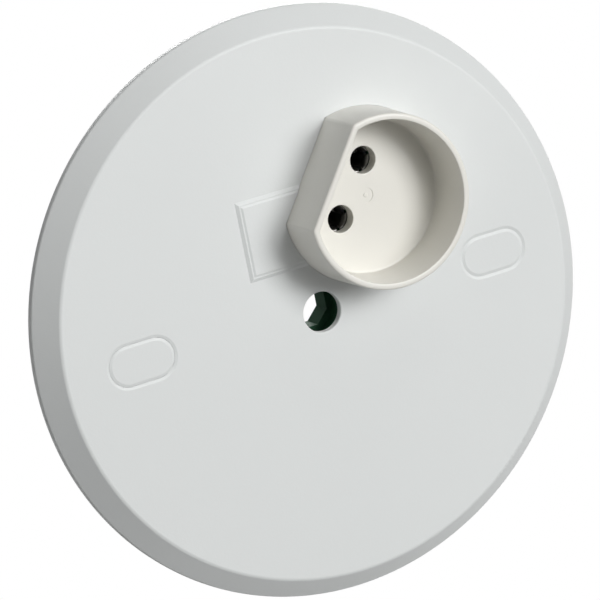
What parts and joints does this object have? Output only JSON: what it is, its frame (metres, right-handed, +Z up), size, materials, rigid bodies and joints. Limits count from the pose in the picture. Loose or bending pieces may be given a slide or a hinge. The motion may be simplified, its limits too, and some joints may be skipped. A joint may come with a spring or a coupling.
{
  "type": "ceiling rose",
  "caption": "Shallow round ceiling rose with a D-shaped lamp socket, a hook passage and slotted fixing points under oval covers.",
  "frame": {"origin": "centre of the two fixing slots on the ceiling plane, which is the plane of the cover's rim and of the chassis's back; it is also the centre of the round cover", "axes": "+Z up into the ceiling, so the front face looks down; +X runs through both fixing slots, towards the slot beside the socket"},
  "size_m": [0.115, 0.115, 0.0324],
  "materials": {
    "plate_white": "fine matt moulded texture",
    "socket_white": "smooth, slightly glossy moulding",
    "chassis_green": "dark moulded thermoset",
    "brass": "stamped brass",
    "spring_steel": "bright spring steel",
    "screw_steel": "zinc plated steel"
  },
  "bodies": {
    "root": {"cover": "plate_white", "screw_cover_left": "plate_white", "screw_cover_right": "plate_white", "socket_body": "socket_white", "chassis": "chassis_green", "terminal_lid": "chassis_green", "contact_inner": "brass", "contact_outer": "brass", "contact_spring_inner": "spring_steel", "contact_spring_outer": "spring_steel", "terminal_inner": "brass", "terminal_outer": "brass", "terminal_screw_inner_1": "screw_steel", "terminal_screw_inner_2": "screw_steel", "terminal_screw_outer_1": "screw_steel", "terminal_screw_outer_2": "screw_steel", "chassis_screw_1": "screw_steel", "chassis_screw_2": "screw_steel", "chassis_screw_3": "screw_steel", "lid_screw_1": "screw_steel", "lid_screw_2": "screw_steel"}
  },
  "joints": []
}
